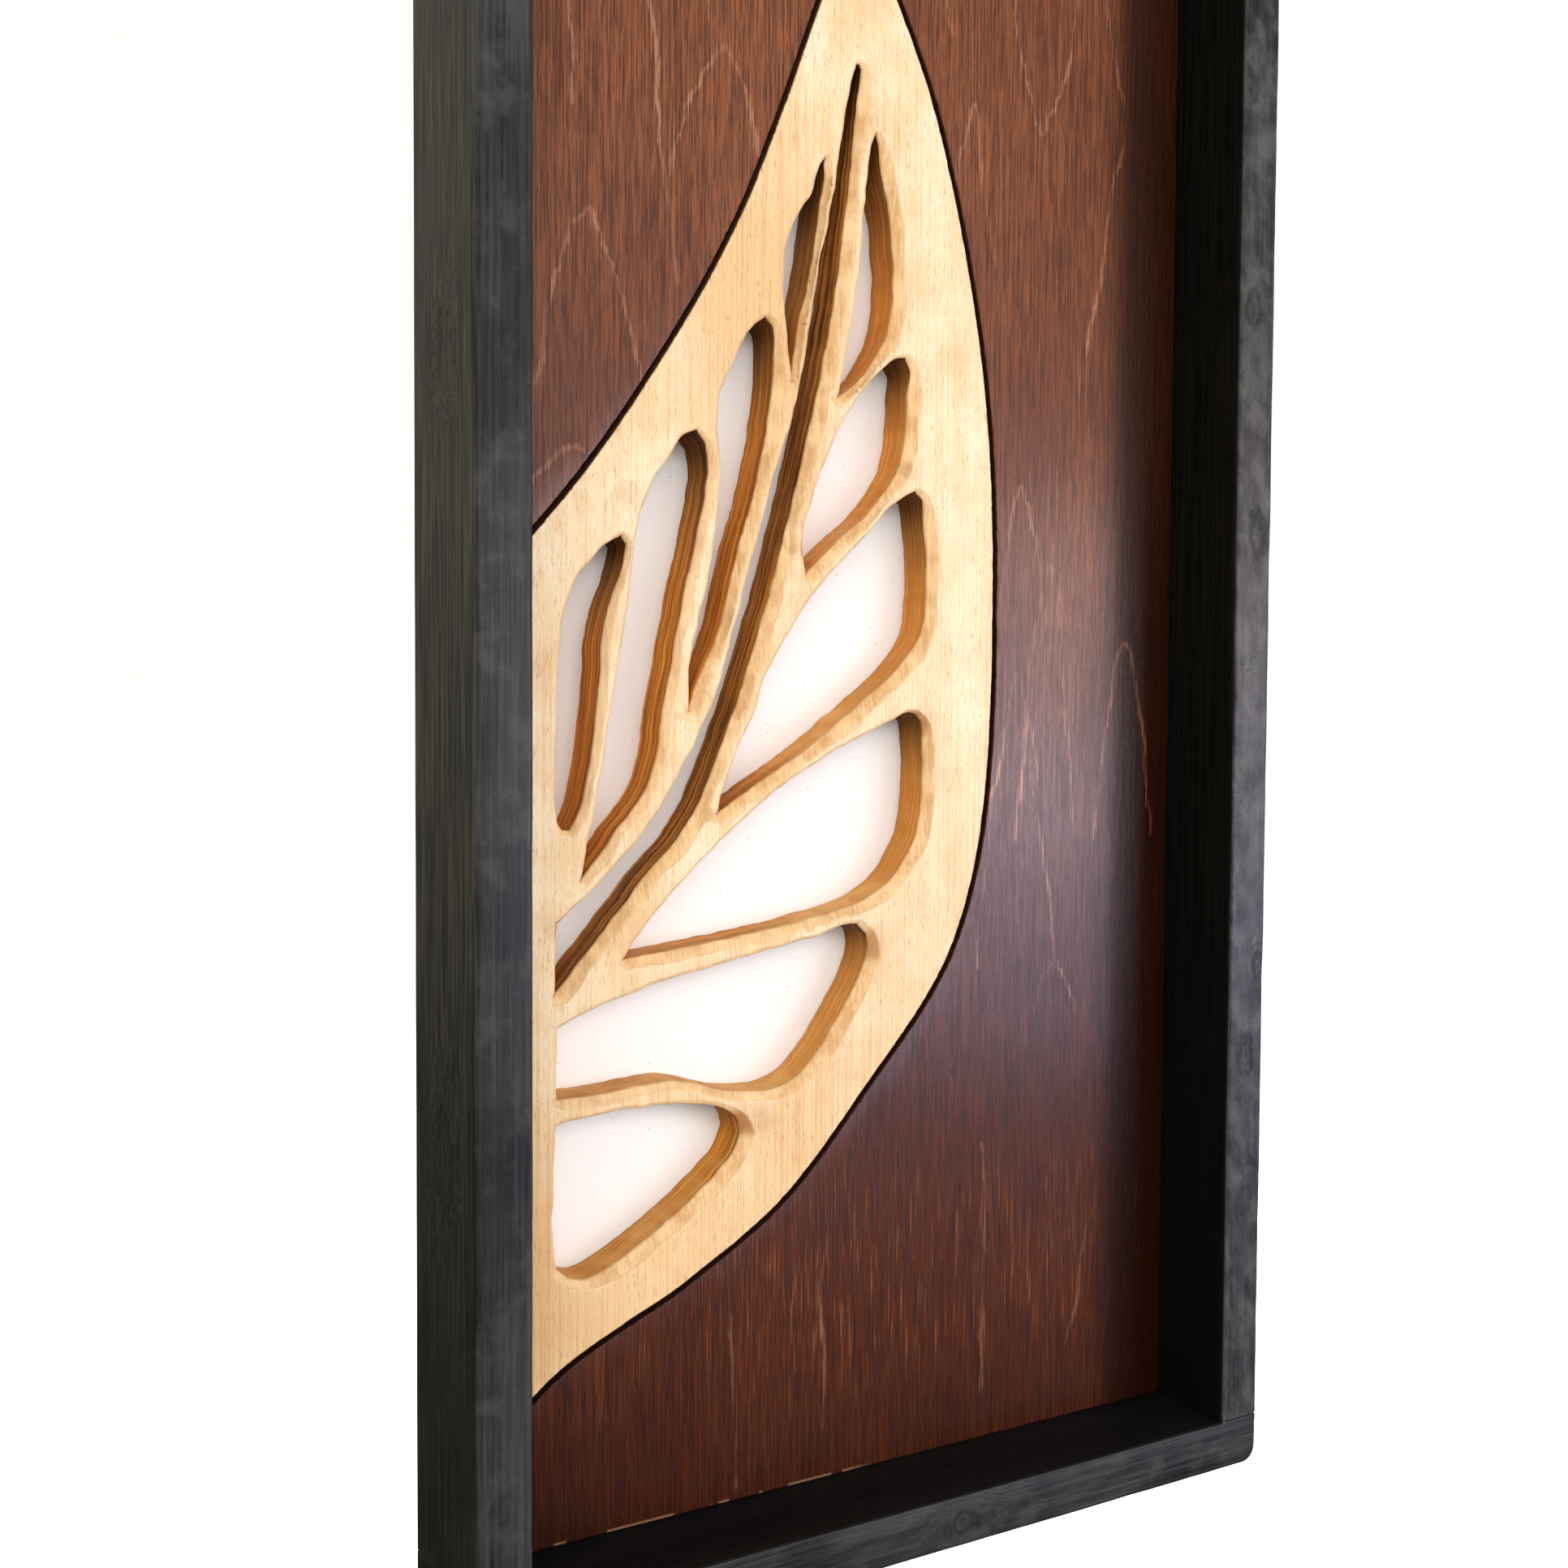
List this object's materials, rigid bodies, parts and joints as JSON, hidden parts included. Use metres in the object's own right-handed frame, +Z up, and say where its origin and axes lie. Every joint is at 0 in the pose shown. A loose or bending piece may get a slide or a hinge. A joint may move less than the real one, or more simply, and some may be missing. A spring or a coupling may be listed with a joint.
{
  "type": "framed pierced wood wall panel",
  "caption": "Deep black wooden frame around a dark stained panel with a pierced, carved half wing in natural wood over a white backboard; hangs on two rings.",
  "frame": {"origin": "centre of the frame's back face, where it lies against the wall", "axes": "+Z up, +Y into the wall, so the carved front faces -Y; +X to the viewer's right"},
  "size_m": [0.34, 0.0657, 0.68],
  "materials": {
    "black_wood": "black stain, satin",
    "stained_wood": "mahogany stain under semi-gloss varnish",
    "natural_wood": "clear, satin",
    "white_paint": "matt white paint",
    "zinc_steel": "zinc plated",
    "black_rubber": "matt"
  },
  "bodies": {
    "panel": {"backboard": "white_paint", "bottom_rail": "black_wood", "bumper_left": "black_rubber", "bumper_right": "black_rubber", "corner_screw_bottom_left_back": "zinc_steel", "corner_screw_bottom_left_front": "zinc_steel", "corner_screw_bottom_right_back": "zinc_steel", "corner_screw_bottom_right_front": "zinc_steel", "corner_screw_top_left_back": "zinc_steel", "corner_screw_top_left_front": "zinc_steel", "corner_screw_top_right_back": "zinc_steel", "corner_screw_top_right_front": "zinc_steel", "hanger_plate_left": "zinc_steel", "hanger_plate_right": "zinc_steel", "hanger_screw_left_1": "zinc_steel", "hanger_screw_left_2": "zinc_steel", "hanger_screw_right_1": "zinc_steel", "hanger_screw_right_2": "zinc_steel", "left_stile": "black_wood", "panel_screw_1": "zinc_steel", "panel_screw_2": "zinc_steel", "panel_screw_3": "zinc_steel", "panel_screw_4": "zinc_steel", "panel_screw_5": "zinc_steel", "panel_screw_6": "zinc_steel", "panel_screw_7": "zinc_steel", "panel_screw_8": "zinc_steel", "right_stile": "black_wood", "stained_panel": "stained_wood", "stile_brad_left_1": "zinc_steel", "stile_brad_left_2": "zinc_steel", "stile_brad_left_3": "zinc_steel", "stile_brad_right_1": "zinc_steel", "stile_brad_right_2": "zinc_steel", "stile_brad_right_3": "zinc_steel", "top_rail": "black_wood", "wing_fretwork": "natural_wood", "wing_screw_1": "zinc_steel", "wing_screw_2": "zinc_steel", "wing_screw_3": "zinc_steel", "wing_screw_4": "zinc_steel", "wing_screw_5": "zinc_steel", "wing_screw_6": "zinc_steel"},
    "ring_left": {"hanger_ring_left": "zinc_steel"},
    "ring_right": {"hanger_ring_right": "zinc_steel"}
  },
  "joints": [
    {"name": "ring_left_swing", "type": "hinge", "parent": "panel", "child": "ring_left", "pos_m": [-0.16, 0.00305, 0.19], "axis": [1, 0, 0], "range_deg": [0, 178]},
    {"name": "ring_right_swing", "type": "hinge", "parent": "panel", "child": "ring_right", "pos_m": [0.16, 0.00305, 0.19], "axis": [1, 0, 0], "range_deg": [0, 178]}
  ]
}
